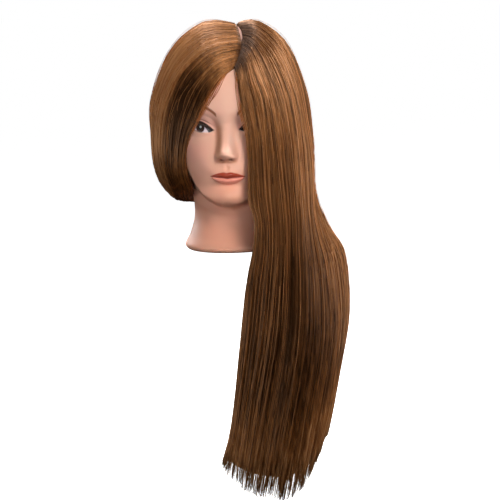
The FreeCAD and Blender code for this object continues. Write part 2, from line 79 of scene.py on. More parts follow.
def make_mesh(name, points_mm, quads=None, triangles=None, smooth=True):
    """A mesh object from points in mm and arrays of quads and triangles."""
    quads = np.zeros((0, 4), int) if quads is None else np.asarray(quads)
    triangles = np.zeros((0, 3), int) if triangles is None else np.asarray(triangles)
    mesh = bpy.data.meshes.new(name)
    mesh.vertices.add(len(points_mm))
    mesh.vertices.foreach_set("co", (np.asarray(points_mm, np.float32) * MM).ravel())
    loops = np.concatenate([quads.ravel(), triangles.ravel()]).astype(np.int32)
    sizes = np.concatenate([np.full(len(quads), 4), np.full(len(triangles), 3)]).astype(np.int32)
    starts = np.concatenate([[0], np.cumsum(sizes)[:-1]]).astype(np.int32)
    mesh.loops.add(len(loops))
    mesh.loops.foreach_set("vertex_index", loops)
    mesh.polygons.add(len(sizes))
    mesh.polygons.foreach_set("loop_start", starts)
    mesh.polygons.foreach_set("use_smooth", np.full(len(sizes), smooth))
    mesh.update(calc_edges=True)
    mesh.validate()
    obj = bpy.data.objects.new(name, mesh)
    bpy.context.scene.collection.objects.link(obj)
    return obj


def add_attribute(obj, name, values):
    """One number per vertex, for the material to read."""
    layer = obj.data.attributes.new(name, "FLOAT", "POINT")
    layer.data.foreach_set("value", np.asarray(values, np.float32).ravel())


# ---------------------------------------------------------------- node material helper

class Nodes:
    """Short calls for building one material's node tree."""

    def __init__(self, name):
        self.material = bpy.data.materials.new(name)
        self.material.use_nodes = True
        self.tree = self.material.node_tree
        self.shader = self.tree.nodes["Principled BSDF"]

    def node(self, kind, **settings):
        made = self.tree.nodes.new(kind)
        for key, value in settings.items():
            setattr(made, key, value)
        return made

    def link(self, source, target):
        self.tree.links.new(source, target)

    def attribute(self, name):
        return self.node("ShaderNodeAttribute", attribute_name=name).outputs["Fac"]

    def mix(self, factor, first, second):
        """Mix two colours, each a socket or a colour."""
        made = self.node("ShaderNodeMix", data_type="RGBA")
        for socket, value in ((made.inputs[0], factor), (made.inputs[6], first), (made.inputs[7], second)):
            if isinstance(value, bpy.types.NodeSocket):
                self.link(value, socket)
            elif isinstance(value, (int, float)):
                socket.default_value = value
            else:
                socket.default_value = (*value, 1)
        return made.outputs[2]

    def math(self, operation, first, second=0.0):
        made = self.node("ShaderNodeMath", operation=operation)
        for socket, value in zip(made.inputs, (first, second)):
            if isinstance(value, bpy.types.NodeSocket):
                self.link(value, socket)
            else:
                socket.default_value = value
        return made.outputs[0]

    def span(self, value, from_low, from_high, to_low, to_high):
        made = self.node("ShaderNodeMapRange")
        self.link(value, made.inputs[0])
        for socket, number in zip(list(made.inputs)[1:5], (from_low, from_high, to_low, to_high)):
            socket.default_value = number
        return made.outputs[0]

    def noise(self, scale, detail=2.0, stretch=(1, 1, 1)):
        """Noise in object space, in cycles per metre."""
        coordinates = self.node("ShaderNodeTexCoord").outputs["Object"]
        mapping = self.node("ShaderNodeMapping")
        mapping.inputs["Scale"].default_value = stretch
        self.link(coordinates, mapping.inputs["Vector"])
        made = self.node("ShaderNodeTexNoise")
        made.inputs["Scale"].default_value = scale
        made.inputs["Detail"].default_value = detail
        self.link(mapping.outputs[0], made.inputs["Vector"])
        return made.outputs["Fac"]

    def bump(self, height, strength, distance):
        made = self.node("ShaderNodeBump")
        made.inputs["Strength"].default_value = strength
        made.inputs["Distance"].default_value = distance
        self.link(height, made.inputs["Height"])
        self.link(made.outputs[0], self.shader.inputs["Normal"])

    def set(self, **values):
        for key, value in values.items():
            self.shader.inputs[key.replace("_", " ")].default_value = value


# ---------------------------------------------------------------- head surface

# The head form's levels: front point's z and y, back point's z and y, half width.
HEAD_LEVELS = np.array([
    (0, -60, 0, 60, 62),
    (6, -63, 6, 63, 65),
    (18, -56, 20, 58.5, 58.5),
    (33, -49.5, 42, 55, 53),
    (46, -50, 62, 56.5, 52.5),
    (54, -60, 76, 60, 53.5),
    (59, -82, 85, 65, 54.5),
    (67, -90, 94, 70, 57),
    (80, -89.5, 103, 77, 61),
    (97, -92, 113, 82, 65),
    (116, -91, 122, 87, 69),
    (135, -87, 135, 91, 72.5),
    (152, -86, 150, 94.5, 74.5),
    (168, -91, 166, 96, 76.5),
    (190, -88, 186, 95, 76.5),
    (214, -76, 210, 87, 71.5),
    (232, -64, 230, 75, 62),
    (246, -50, 246, 60, 49),
    (255.5, -34, 255.5, 44, 35),
    (260.5, -18, 260.5, 28, 20),
    (262, -5, 262, 13, 8),
], float)
WIDEST = 0.55

# Face landmarks, mm.
EYE_X = 30.5
EYE_INNER_X = 16.0
EYE_LENGTH = 31.0
EYE_INNER_Z = 145.6
EYE_RISE = 5.9
IRIS_Z = 149.2
IRIS_RADIUS = 5.2
PUPIL_RADIUS = 2.0
CREASE_ABOVE_LID = 5.6
BROW_SHIFT = 1.8
BROW_INNER_X = 12.2
BROW_LENGTH = 32
BROW_Z = 163.6
MOUTH_Z = 92.2
MOUTH_HALF = 20.5
MOUTH_TILT = 0.035
UPPER_LIP = 6.0
LOWER_LIP = 10.0
PHILTRUM_Z = 104.5
NOSTRIL = (5.3, 113.0)

# The nose's ridge from the lip up to the brow: z, how far it stands out, half width.
NOSE_RIDGE = np.array([
    (104, 0, 9), (109, 2.0, 9.2), (112, 8.0, 9.8), (115, 14.5, 10.2), (119, 18.6, 9.8), (123, 18.6, 9.2),
    (130, 14.0, 8.6), (138, 9.0, 8.2), (146, 5.0, 8.6), (154, 2.4, 10.0), (162, 0.8, 12.0), (172, 0, 14),
])

# Soft round rises and hollows of the face: height, centre (|x|, z), spread (|x|, z).
FACE_FORMS = [
    (2.0, (0, 120.5), (6, 5)),             # tip of the nose
    (4.4, (9.2, 116), (3.4, 3.8)),         # wings of the nose
    (-4.5, NOSTRIL, (2.4, 1.7)),           # nostrils
    (-1.6, (13.4, 114.5), (2.6, 5)),       # crease beside the wings
    (-3.6, (28, 153.5), (17, 10.5)),       # eye sockets
    (-2.2, (14.5, 150), (5, 9)),           # hollow beside the bridge
    (2.0, (0, 154), (9, 14)),              # bridge
    (4.2, (36, 122), (19, 17)),            # cheeks
    (1.6, (22, 104), (11, 12)),            # fold beside the mouth
    (1.2, (55, 120), (16, 24)),            # cheekbones
    (4.2, (0, 97), (22, 13)),              # mouth mound
    (-0.9, (0, PHILTRUM_Z), (2.0, 4.2)),   # groove above the lip
    (0.3, (4.2, 104), (1.9, 4.4)),         # its two edges
    (-0.7, (22.5, 94.5), (3.4, 3.8)),      # corners of the mouth
    (-2.6, (0, 82.5), (15, 4.2)),          # hollow below the lip
    (3.8, (0, 70), (15, 10)),              # chin
]


def eye_place(x):
    """0 at the inner corner and 1 at the outer corner of either eye."""
    return (np.abs(x) - EYE_INNER_X) / EYE_LENGTH


def upper_lid_z(t):
    arch = np.sin(np.pi * np.clip(t, 0, 1) ** 0.95) ** 0.85
    return EYE_INNER_Z + EYE_RISE * t + 5.2 * arch


def lower_lid_z(t):
    arch = np.sin(np.pi * np.clip(t, 0, 1) ** 0.8) ** 0.9
    return EYE_INNER_Z + EYE_RISE * t - 3.7 * arch


def lip_mid_z(x):
    dip = 0.7 * np.exp(-(x / 3.5) ** 2)
    return MOUTH_Z + 1.0 * (x / MOUTH_HALF) ** 2 - dip - MOUTH_TILT * x


def lip_top_z(x):
    edge = np.clip(np.abs(x) / MOUTH_HALF, 0, 1)
    dip = 1.1 * np.exp(-(x / 2.8) ** 2)
    return MOUTH_Z + 1.0 + UPPER_LIP * (1 - edge ** 1.7) - dip - MOUTH_TILT * x


def lip_bottom_z(x):
    edge = np.clip(np.abs(x) / (MOUTH_HALF - 0.5), 0, 1)
    return MOUTH_Z + 1.0 - LOWER_LIP * (1 - edge ** 2) ** 0.8 - MOUTH_TILT * x


def face_relief(x, z):
    """How far the face stands forward of the plain head form, in mm."""
    ax = np.abs(x)
    height = np.interp(z, NOSE_RIDGE[:, 0], NOSE_RIDGE[:, 1])
    width = np.interp(z, NOSE_RIDGE[:, 0], NOSE_RIDGE[:, 2])
    relief = height * np.exp(-(ax / width) ** 2.9)
    for rise, centre, spread in FACE_FORMS:
        relief += rise * bump(ax, z, centre, spread)
    # lips
    top, middle, bottom = lip_top_z(x), lip_mid_z(x), lip_bottom_z(x)
    taper = np.clip(1 - (ax / MOUTH_HALF) ** 2.2, 0, 1)
    up = np.clip((z - middle) / np.maximum(top - middle, 0.1), 0, 1)
    down = np.clip((middle - z) / np.maximum(middle - bottom, 0.1), 0, 1)
    relief += 2.6 * taper * np.sin(np.pi * np.clip(up, 0, 1)) ** 0.8 * (up < 1)
    relief += 4.4 * taper * np.sin(np.pi * np.clip(down, 0, 1)) ** 0.7 * (down < 1)
    relief += 1.6 * taper * bump(x, z, (0, 98), (16, 6))
    relief -= 1.3 * taper ** 0.5 * np.exp(-((z - middle) / 0.9) ** 2) * (ax < MOUTH_HALF)
    # eyelids and the eyeball between them
    t = eye_place(x)
    inside = (t > -0.12) & (t < 1.15)
    upper, lower = upper_lid_z(t), lower_lid_z(t)
    ball = np.clip(1 - ((ax - EYE_X) / 19) ** 2 - ((z - 150.5) / 14) ** 2, 0, None)
    relief += 6.6 * ball ** 1.4
    opening = smoothstep(-0.2, 0.5, z - lower) * smoothstep(-0.2, 0.5, upper - z)
    relief -= 0.9 * opening * inside
    edge = smoothstep(-0.12, 0.1, t) * smoothstep(1.15, 0.95, t)
    relief += 0.9 * np.exp(-((z - upper - 2.4) / 2.0) ** 2) * edge
    relief -= 0.8 * np.exp(-((z - upper - CREASE_ABOVE_LID) / 1.0) ** 2) * edge
    relief += 0.3 * np.exp(-((z - lower + 0.9) / 0.9) ** 2) * edge
    return relief


# The lower edge of the jaw seen from the front: |x| and z.
JAW_X = [0, 6, 18, 32, 41, 49, 56]
JAW_Z = [57, 58.5, 63.5, 72, 81.5, 96, 112]
NECK_HALF = 53.0
NECK_DEPTH = 50.0


def carve_jaw(x, y, z):
    """Pull the surface below the jaw's edge back to the neck."""
    ax = np.abs(x)
    neck_y = -NECK_DEPTH * np.sqrt(np.clip(1 - (ax / NECK_HALF) ** 2, 0, 1))
    below = smoothstep(-1, 11, np.interp(ax, JAW_X, JAW_Z) - z) * smoothstep(30, 50, z)
    return np.where(y < neck_y, y + below * (neck_y - y), y)


def head_grid(s_rows, angles):
    """Points of the head at the level positions s and the angles about the axis."""
    index, weight = spline_weights(s_rows, len(HEAD_LEVELS))
    levels = np.einsum("rk,rkc->rc", weight, HEAD_LEVELS[index])
    front_z, front_y, back_z, back_y, half_width = [levels[:, [c]] for c in range(5)]
    depth = back_y - front_y
    centre_y = front_y + WIDEST * depth
    cosine, sine = np.cos(angles)[None, :], np.sin(angles)[None, :]
    reach = np.where(cosine > 0, centre_y - front_y, back_y - centre_y)
    y = centre_y - reach * cosine
    x = half_width * sine
    z = front_z + (back_z - front_z) / depth * (y - front_y)
    return x, y, z


# Distance between mesh rows, mm: z and spacing. Finest at the mouth and the eyes.
ROW_SPACING = np.array([
    (0, 1.2), (8, 2.5), (50, 2.0), (60, 1.1), (84, 1.0), (86, 0.42), (102, 0.42), (106, 0.7),
    (126, 0.9), (138, 0.9), (143, 0.42), (160, 0.42), (166, 1.0), (190, 1.6), (200, 3), (262, 3.5),
])


def spaced_rows():
    """Level positions whose spacing in height is fine at the mouth and eyes."""
    fine = np.linspace(0, len(HEAD_LEVELS) - 1, 6000)
    index, weight = spline_weights(fine, len(HEAD_LEVELS))
    levels = np.einsum("rk,rkc->rc", weight, HEAD_LEVELS[index])
    step = np.hypot(np.diff(levels[:, 0]), np.diff(levels[:, 1]))
    z = levels[:-1, 0]
    spacing = np.interp(z, ROW_SPACING[:, 0], ROW_SPACING[:, 1])
    progress = np.concatenate([[0], np.cumsum(step / spacing)])
    count = int(progress[-1])
    return np.interp(np.linspace(0, progress[-1], count), progress, fine)


def spaced_angles():
    """Angles about the head's axis: fine across the face, coarse behind."""
    face = np.arcsin(np.linspace(0, 50, 112) / 74)
    rest = np.linspace(face[-1], math.pi, 44)[1:]
    half = np.concatenate([face, rest])
    return np.concatenate([-half[:0:-1], half[:-1]])


def build_head():
    """The vinyl head: one closed skin with the paint's masks stored on its points."""
    rows, angles = spaced_rows(), spaced_angles()
    x, y, z = head_grid(rows, angles)
    front = smoothstep(-34, -58, y)
    relief = face_relief(x, z) * front
    y = carve_jaw(x, y - relief, z)
    # ears, under the hair
    for side in (-1, 1):
        ear = np.exp(-((y - 8) / 13) ** 4 - ((z - 138) / 26) ** 4) * (np.sign(x) == side)
        x = x + side * 4.5 * ear * smoothstep(50, 66, np.abs(x))
    columns = len(angles)
    grid = np.stack([x, y, z], -1)
    # the rim turns in under the base and up inside it
    rim = []
    for inset, height in ((3.6, 8.0), (3.6, 0.6), (3.0, 0.0), (1.0, 0.0)):
        ring = grid[0].copy()
        radius = np.hypot(ring[:, 0], ring[:, 1])[:, None]
        ring[:, :2] *= (radius - inset) / radius
        ring[:, 2] = height
        rim.append(ring)
    grid[0, :, 2] = 1.0
    points = np.concatenate([np.array(rim), grid]).reshape(-1, 3)
    row_count = len(rows) + len(rim)
    i, j = np.meshgrid(np.arange(row_count - 1), np.arange(columns), indexing="ij")
    k = (j + 1) % columns
    quads = np.stack([i * columns + j, i * columns + k, (i + 1) * columns + k, (i + 1) * columns + j], -1)
    ring = np.arange(columns)
    top, low = len(points), len(points) + 1
    points = np.concatenate([points, [[0, 4, 262.2], [0, 0, 8.0]]])
    last = (row_count - 1) * columns
    caps = np.concatenate([
        np.stack([last + ring, last + np.roll(ring, -1), np.full(columns, top)], -1),
        np.stack([np.roll(ring, -1), ring, np.full(columns, low)], -1)])
    head = make_mesh("head_vinyl", points, quads.reshape(-1, 4), caps)
    for name, mask in paint_masks(points).items():
        add_attribute(head, name, mask)
    return head


def paint_masks(points):
    """The painted make-up, with painted shade and a painted highlight, as masks between 0 and 1."""
    x, y, z = points.T
    ax = np.abs(x)
    face = smoothstep(-40, -55, y)
    t = eye_place(x)
    along = np.clip(t, 0, 1)
    upper, lower = upper_lid_z(t), lower_lid_z(t)
    soft = 0.45
    in_eye = ((t > 0) & (t < 1)) * 1.0
    opening = smoothstep(-soft, soft, z - lower) * smoothstep(-soft, soft, upper - z) * in_eye
    dx, dz = ax - EYE_X, z - IRIS_Z
    radius = np.hypot(dx, dz)
    masks = {}
    masks["eye_white"] = opening * face
    masks["iris"] = smoothstep(IRIS_RADIUS + 0.4, IRIS_RADIUS - 0.4, radius) * face
    masks["pupil"] = smoothstep(PUPIL_RADIUS + 0.3, PUPIL_RADIUS - 0.3, radius) * face
    glint = np.hypot(x - np.sign(x) * EYE_X - 0.6, z - IRIS_Z - 1.1)
    masks["glint"] = smoothstep(1.5, 1.0, glint) * face
    line_top = upper + 1.2 + 2.9 * np.sin(np.pi * np.clip((t + 0.12) / 1.3, 0, 1)) ** 0.8
    line_low = upper - 0.3 - 8.0 * np.exp(-(np.clip(t, 0, 1) / 0.22) ** 2)
    line_low = np.maximum(line_low, lower - 0.3)
    line = smoothstep(-soft, soft, line_top - z) * smoothstep(-soft, soft, z - line_low)
    line = line * smoothstep(-0.10, 0.0, t) * smoothstep(1.22, 1.08, t)
    masks["liner"] = line * face
    low_line = smoothstep(1.3, 0.4, np.abs(z - lower + 0.2))
    low_line = low_line * smoothstep(0.3, 0.5, t) * smoothstep(1.05, 0.95, t)
    masks["low_liner"] = low_line * face
    # painted shade: a dark line in the fold of the upper lid
    painted_crease_shade = smoothstep(1.0, 0.2, np.abs(z - upper - CREASE_ABOVE_LID))
    painted_crease_shade = painted_crease_shade * smoothstep(0.0, 0.2, t) * smoothstep(1.15, 0.9, t)
    masks["painted_crease_shade"] = painted_crease_shade * face
    shadow = bump(t, z, (0.45, 158), (0.55, 8.5)) + 0.5 * bump(ax, z, (14.5, 152), (5, 7))
    masks["shadow"] = np.clip(shadow, 0, 1) * face
    brow_t = np.clip((np.abs(x - BROW_SHIFT) - BROW_INNER_X) / BROW_LENGTH, -0.2, 1.2)
    brow_z = BROW_Z + 33 * brow_t - 26 * brow_t ** 2
    brow_half = 2.1 - 1.2 * np.clip(brow_t, 0, 1)
    brow = smoothstep(brow_half + 0.6, brow_half - 0.5, np.abs(z - brow_z))
    brow = brow * smoothstep(-0.03, 0.02, brow_t) * smoothstep(1.05, 0.8, brow_t)
    masks["brow"] = brow * face
    inside_lips = smoothstep(-0.7, 0.7, lip_top_z(x) - z) * smoothstep(-0.8, 0.8, z - lip_bottom_z(x))
    inside_lips = inside_lips * smoothstep(MOUTH_HALF + 0.2, MOUTH_HALF - 0.8, ax)
    masks["lips"] = inside_lips * face
    # the upper lip a darker red than the lower: partly its own paint, partly painted shade on a lip that faces
    # down
    masks["upper_lip"] = inside_lips * smoothstep(-0.8, 0.3, z - lip_mid_z(x)) * face
    # painted shade: a dark line between the lips
    masks["painted_mouth_shade"] = smoothstep(1.1, 0.2, np.abs(z - lip_mid_z(x))) * (ax < MOUTH_HALF) * face
    masks["blush"] = bump(ax, z, (40, 122), (17, 14)) * face
    nose_side = np.interp(z, [112, 118, 135, 148, 158], [10.0, 9.2, 8.0, 8.8, 11.5])
    # painted shade: a warm brown down the side of the nose on her right only, the side turned from the key
    # light
    painted_nose_shade = np.exp(-((ax - nose_side) / 4.4) ** 2) * smoothstep(0, -2, x)
    painted_nose_shade = painted_nose_shade * smoothstep(110, 118, z) * smoothstep(162, 148, z)
    masks["painted_nose_shade"] = painted_nose_shade * face
    # painted shade: the neck and the cheek beside the curtain warmer and darker, for the shade under the chin
    # and the hair
    curtain_shade_cheek = smoothstep(24, 40, x) * smoothstep(170, 150, z)
    masks["painted_warm_shade"] = np.clip(smoothstep(155, 62, z) + 0.8 * curtain_shade_cheek, 0, 1)
    # painted highlight: a paler patch down the right side of the nose
    masks["painted_nose_highlight"] = bump(x, z, (5.5, 131), (3.6, 15)) * face
    # painted shade: warm brown under the nose
    masks["painted_under_nose_shade"] = np.clip(1.3 * bump(ax, z, (4.0, 111), (7, 2.8)), 0, 1) * face
    # painted shade: the scalp above the hairline dark brown, for the shade under the hair
    masks["scalp"] = smoothstep(215, 232, z)
    # painted shade: the nostrils darkened
    masks["painted_nostril_shade"] = np.clip(bump(ax, z, NOSTRIL, (2.3, 1.5)) * 1.4, 0, 1) * face
    return masks


def skin_material():
    """Soft vinyl in a peach skin tone, with air-brushed make-up, painted shade and a painted highlight."""
    n = Nodes("skin_vinyl_painted")
    blotch = n.noise(18, 3)
    pore = n.noise(900, 2)
    skin = n.mix(n.span(blotch, 0.35, 0.65, 0, 1), (0.90, 0.51, 0.375), (0.94, 0.56, 0.43))
    layers = [
        # painted shade on the neck and beside the curtain
        ("painted_warm_shade", 0.9, (0.92, 0.43, 0.29)),
        ("blush", 0.42, (0.80, 0.30, 0.24)),
        # painted shade on the scalp
        ("scalp", 0.9, (0.26, 0.12, 0.085)),
        # painted shade down the nose side on her right
        ("painted_nose_shade", 0.8, (0.60, 0.23, 0.115)),
        # painted highlight on the nose
        ("painted_nose_highlight", 0.6, (1.0, 0.66, 0.54)),
        # painted shade under the nose
        ("painted_under_nose_shade", 0.5, (0.70, 0.27, 0.14)),
        ("shadow", 0.62, (0.42, 0.20, 0.19)),
        # painted shade in the lid fold
        ("painted_crease_shade", 0.55, (0.16, 0.06, 0.05)),
        ("brow", 0.95, (0.26, 0.07, 0.03)),
        # painted shade in the nostrils
        ("painted_nostril_shade", 0.65, (0.20, 0.06, 0.035)),
        ("lips", 0.97, (1.0, 0.36, 0.27)),
        # upper lip colour with painted shade
        ("upper_lip", 0.95, (0.40, 0.05, 0.022)),
        # painted shade between the lips
        ("painted_mouth_shade", 0.3, (0.20, 0.03, 0.02)),
        ("eye_white", 1.0, (0.82, 0.69, 0.72)),
        ("iris", 1.0, (0.035, 0.014, 0.010)),
        ("pupil", 1.0, (0.004, 0.003, 0.003)),
    ]
    masks = {}
    for name, strength, colour in layers:
        factor = n.attribute(name)
        masks[name] = factor
        if name in ("iris", "pupil"):
            factor = n.math("MULTIPLY", factor, masks["eye_white"])
        skin = n.mix(n.math("MULTIPLY", factor, strength), skin, colour)
    skin = n.mix(n.math("MULTIPLY", n.attribute("low_liner"), 0.6), skin, (0.07, 0.025, 0.022))
    skin = n.mix(n.math("MULTIPLY", n.attribute("liner"), 0.97), skin, (0.012, 0.007, 0.007))
    skin = n.mix(n.math("MULTIPLY", n.attribute("glint"), masks["eye_white"]), skin, (0.95, 0.95, 0.95))
    n.link(skin, n.shader.inputs["Base Color"])
    gloss = n.math("MAXIMUM", masks["lips"], masks["eye_white"])
    n.link(n.span(gloss, 0, 1, 0.55, 0.22), n.shader.inputs["Roughness"])
    n.set(Subsurface_Weight=0.10, Subsurface_Scale=0.006, Specular_IOR_Level=0.4)
    n.shader.inputs["Subsurface Radius"].default_value = (1.0, 0.35, 0.2)
    n.bump(pore, 0.10, 0.0003)
    return n.material


# ---------------------------------------------------------------- hair surface

# Guide lines of the hair's outside, in order round the head from the edge beside her right
# cheek, over the back, to the edge of the curtain; the last three are the curtain's inner
# face and the hair hanging under it, which closes the tail's inner side.
# Stations: root at the parting, crest, top, shoulder, temple, cheek, jaw, below the jaw,
# neck, behind or beside the neck, base, tail, low tail, tip.
GUIDES = np.array([
    [(12.6, -75, 216), (7, -79.5, 213), (-4, -86, 205), (-16, -88.5, 189), (-30, -84, 163), (-46, -70, 134),
     (-52, -60, 100), (-47, -40, 70), (-57, 8, 56), (-18, 67, 42), (68, 48, 4), (34, -30, -100),
     (2, -56, -200), (-14, -64, -240)],
    [(17.3, -64, 231), (8, -69, 230), (-13, -78, 222), (-36, -81, 199), (-53, -76, 166), (-62, -68, 134),
     (-66, -56, 100), (-62, -38, 72), (-66, 10, 56), (-18, 71, 44), (70, 51, 0), (42, -14, -100),
     (14, -46, -205), (0, -56, -244)],
    [(17.4, -48, 246), (8, -52, 247.5), (-22, -60, 242), (-54, -62, 215), (-75, -60, 172), (-83, -54, 132),
     (-83, -42, 98), (-77, -24, 72), (-70, 18, 55), (-14, 74, 46), (73, 53, -4), (50, 0, -102),
     (26, -36, -208), (14, -46, -240)],
    [(11.4, -20, 260.5), (3, -21, 263.5), (-31, -25, 263), (-66, -28, 235), (-92.5, -24, 182), (-97, -18, 136),
     (-96, -10, 97), (-86, 4, 70), (-68, 34, 54), (-8, 76, 48), (76, 55, -8), (60, 10, -102),
     (40, -26, -205), (30, -36, -236)],
    [(6, 15, 262), (-1, 15.5, 266.5), (-34, 17, 267), (-73, 20, 236), (-96.5, 22, 180), (-98.5, 24, 133),
     (-96, 28, 92), (-84, 36, 68), (-60, 54, 54), (0, 77, 50), (79, 57, -12), (70, 18, -100),
     (54, -18, -200), (46, -30, -236)],
    [(5.5, 40, 258), (-6, 46, 263), (-34, 60, 255), (-67, 72, 223), (-88, 78, 176), (-87, 77, 130),
     (-76, 77, 92), (-58, 79, 68), (-34, 79, 56), (14, 78, 46), (82, 59, -14), (80, 24, -100),
     (66, -12, -200), (60, -24, -240)],
    [(5.2, 52, 251), (-6, 66, 253), (-22, 82, 240), (-42, 94, 208), (-53, 99, 166), (-50, 95, 124),
     (-38, 89, 90), (-20, 85, 68), (2, 81, 56), (36, 76, 36), (88, 59, -16), (88, 28, -100),
     (78, -8, -200), (72, -20, -242)],
    [(5, 56, 249), (3, 73, 250), (0, 88, 238), (-4, 101, 206), (-4, 107, 164), (0, 103, 122),
     (8, 95, 88), (20, 89, 66), (34, 83, 50), (60, 73, 22), (96, 56, -20), (98, 28, -100),
     (88, -6, -198), (82, -18, -240)],
    [(6, 52, 251), (12, 68, 253), (20, 85, 241), (33, 98, 206), (41, 103, 164), (43, 99, 122),
     (45, 91, 88), (50, 85, 66), (60, 78, 48), (82, 67, 16), (108, 50, -22), (110, 26, -98),
     (99, -6, -196), (92, -16, -238)],
    [(5.2, 38, 258.5), (14, 48, 263), (30, 64, 256), (54, 79, 222), (70, 84, 172), (75, 80, 126),
     (75, 73, 90), (76, 67, 66), (82, 61, 46), (99, 53, 14), (119, 40, -20), (121, 18, -94),
     (107, -8, -190), (98, -18, -232)],
    [(5.8, 20, 262), (13, 22, 267), (34, 28, 264), (64, 42, 236), (83, 44, 182), (89, 42, 132),
     (89, 38, 92), (89, 34, 68), (94, 30, 45), (108, 24, 14), (125, 18, -18), (127, 4, -92),
     (107, -18, -188), (94, -26, -236)],
    [(7.4, 5, 262.3), (14, 5, 266), (34, 6, 266), (61, 8, 242), (80.5, 9, 194), (87.5, 7, 142),
     (92, 3, 98), (92, -2, 68), (96, -8, 45), (105, -14, 14), (116, -20, -20), (119, -26, -98),
     (102, -36, -192), (84, -42, -262)],
    [(10.6, -8, 262), (18, -8.5, 264.8), (34, -10, 264.5), (59, -13, 241), (77.5, -17, 197), (86.5, -23, 146),
     (92, -30, 100), (92, -38, 66), (93, -44, 42), (98, -50, 12), (105, -56, -24), (106, -59, -100),
     (88, -59, -196), (66, -58, -292)],
    [(16.6, -30, 257), (24, -32, 256.5), (36, -36, 252.5), (56, -43, 230), (73, -53, 188), (81, -63, 143),
     (84, -71, 100), (85, -77, 66), (86, -80, 42), (87, -82, 10), (89, -84, -28), (85, -85, -100),
     (65, -79, -200), (44, -70, -299)],
    [(19.4, -49, 245), (26, -53, 243), (33, -60, 236), (44, -69, 213), (56, -79, 180), (62, -87, 141),
     (65, -92, 102), (67, -95, 66), (68, -96, 40), (67, -97, 8), (65, -97, -30), (58, -94, -100),
     (38, -86, -200), (18, -78, -293)],
    [(17.0, -64, 231), (21, -69, 228.5), (26, -75, 221.5), (31, -84, 202), (38, -91, 176), (43, -97, 140),
     (45, -100, 102), (46, -102, 66), (48, -103, 40), (47, -103, 6), (42, -102, -32), (32, -98, -100),
     (11, -90, -200), (-4, -82, -278)],
    [(12.2, -75, 217), (13.5, -79, 215), (15.5, -83, 209), (17.5, -90, 192), (21, -95, 167), (26, -99, 140),
     (25.5, -102, 94), (26, -104, 64), (31, -105, 42), (28, -104, 10), (18, -103, -30), (6.5, -98, -104),
     (-9, -89, -200), (-24, -84, -250)],
    [(13.5, -72, 221), (17, -76, 216), (20, -79, 208), (27, -84, 191), (34, -88, 166), (39, -90, 140),
     (40, -91, 94), (40, -92, 64), (43, -90, 40), (38, -86, 8), (28, -82, -30), (17, -76, -104),
     (0, -70, -200), (-14, -70, -238)],
    [(17.5, -62, 232), (22, -67, 226), (28, -72, 214), (38, -78, 192), (45, -82, 166), (50, -83, 140),
     (52, -82, 94), (52, -80, 64), (52, -74, 40), (45, -67, 8), (35, -60, -30), (23, -54, -104),
     (6, -58, -200), (-8, -62, -240)],
    [(18.8, -46, 247), (26, -52, 242), (38, -60, 226), (54, -64, 198), (62, -66, 168), (66, -66, 140),
     (67, -64, 94), (66, -60, 64), (64, -54, 40), (56, -50, 8), (44, -44, -30), (29, -37, -104),
     (8, -50, -200), (-4, -58, -236)],
], float)
GUIDE_COUNT, STATION_COUNT = GUIDES.shape[:2]


def hair_point(u, station):
    """Points of the hair's outside at guide position u and station position."""
    u_index, u_weight = spline_weights(u, GUIDE_COUNT)
    s_index, s_weight = spline_weights(station, STATION_COUNT)
    total = 0
    for a in range(4):
        for b in range(4):
            corner = GUIDES[u_index[..., a], s_index[..., b]]
            total = total + corner * (u_weight[..., a] * s_weight[..., b])[..., None]
    return total


def hair_normal(u, station):
    """The outward direction of the hair's outside."""
    step = 0.04
    u_low = np.clip(u - step, 0, GUIDE_COUNT - 1)
    u_high = np.clip(u + step, 0, GUIDE_COUNT - 1)
    s_low = np.clip(station - step, 0, STATION_COUNT - 1)
    s_high = np.clip(station + step, 0, STATION_COUNT - 1)
    across = hair_point(u_high, station) - hair_point(u_low, station)
    down = hair_point(u, s_high) - hair_point(u, s_low)
    normal = np.cross(across, down)
    return normal / np.maximum(np.linalg.norm(normal, axis=-1, keepdims=True), 1e-9)


def station_spacing(count):
    """Station positions along an average guide: close together on the crown, wider in the tail."""
    fine = np.linspace(0, STATION_COUNT - 1, 400)
    middle = hair_point(np.full(400, 12.0), fine)
    length = np.concatenate([[0], np.cumsum(np.linalg.norm(np.diff(middle, axis=0), axis=1))])
    spacing = np.interp(fine, [0, 1, 2, 7, 9, 13], [4, 5, 9, 16, 23, 31])
    progress = np.concatenate([[0], np.cumsum(np.diff(length) / spacing[1:])])
    return np.interp(np.linspace(0, progress[-1], count), progress, fine)


STRAND_POINTS = 36
STATIONS = station_spacing(STRAND_POINTS)


def hair_light_and_shade(u, station):
    """Painted light and shade of the hair, as an offset of its tint."""
    # painted highlight on the top of the hair on her right
    top = 0.26 * np.exp(-((u - 2) / 3.5) ** 2 - ((station - 1.7) / 1.0) ** 2)
    # painted shade down her right side beside the face
    dark = np.interp(u, [0, 0.6, 1.2, 1.6, 1.95], [0.10, 0.45, 0.60, 0.40, 0.0])
    dark = dark * smoothstep(2.2, 3.4, station) * smoothstep(6.2, 4.6, station)
    # painted rim light along the outer edge of her right side
    light = np.interp(u, [1.6, 2.15, 3.2, 5.0, 7.0], [0.0, 0.65, 0.86, 0.40, 0.0])
    light = light * smoothstep(1.6, 3.0, station) * smoothstep(9, 7, station)
    # painted shade in the middle of the tail
    tail = 0.32 * np.exp(-((u - 13.9) / 2.0) ** 2)
    tail = tail * smoothstep(7, 10, station) * smoothstep(13.0, 11.6, station)
    # painted light: the tips paler, as if backlit
    tips = 0.45 * smoothstep(11.4, 12.8, station)
    return top - dark + light - tail + tips


def root_shade(u, station):
    """How dark the hair is by its roots: a narrow line on her right, far down on her left."""
    reach = np.interp(u, [9.5, 11.5, 13.0], [0.6, 1.4, 2.8])
    strength = np.interp(u, [9.5, 11.5, 12.8], [0.5, 0.5, 0.85])
    return strength * smoothstep(reach, 0.45 * reach, station)


TUBE_SIDES = 3


